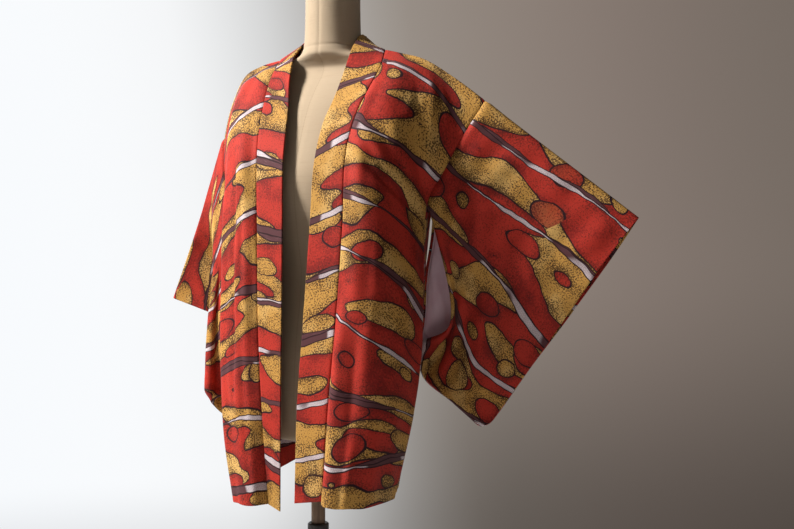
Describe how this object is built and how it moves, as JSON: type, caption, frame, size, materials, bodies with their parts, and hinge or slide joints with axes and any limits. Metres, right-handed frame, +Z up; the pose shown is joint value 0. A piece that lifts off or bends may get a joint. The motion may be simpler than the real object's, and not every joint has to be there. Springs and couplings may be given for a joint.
{
  "type": "kimono jacket on dress form stand",
  "caption": "Short open kimono jacket with deep square sleeves and a long collar band, hanging on a limbless linen dress form with a pole and round base.",
  "frame": {"origin": "on the floor at the axis of the stand's pole", "axes": "+Z up along the pole, the jacket's front faces -Y, the wearer's left is +X"},
  "size_m": [0.929, 0.4219, 1.53],
  "materials": {
    "print": "woven wool or silk cloth, printed in red and mustard with dark outlines",
    "lining": "smooth pink satin",
    "linen": "plain beige linen cover",
    "wood": "varnished brown wood",
    "black": "black paint"
  },
  "bodies": {
    "root": {"body_left": "print", "body_right": "print", "collar": "print", "gusset_left": "print", "gusset_right": "print", "sleeve_left": "print", "sleeve_right": "print", "sleeve_left_lining": "lining", "sleeve_right_lining": "lining", "dress_form": "linen", "neck_cap": "wood", "pole": "wood", "pole_collar": "black", "stand_tube": "black", "base": "black"}
  },
  "joints": []
}
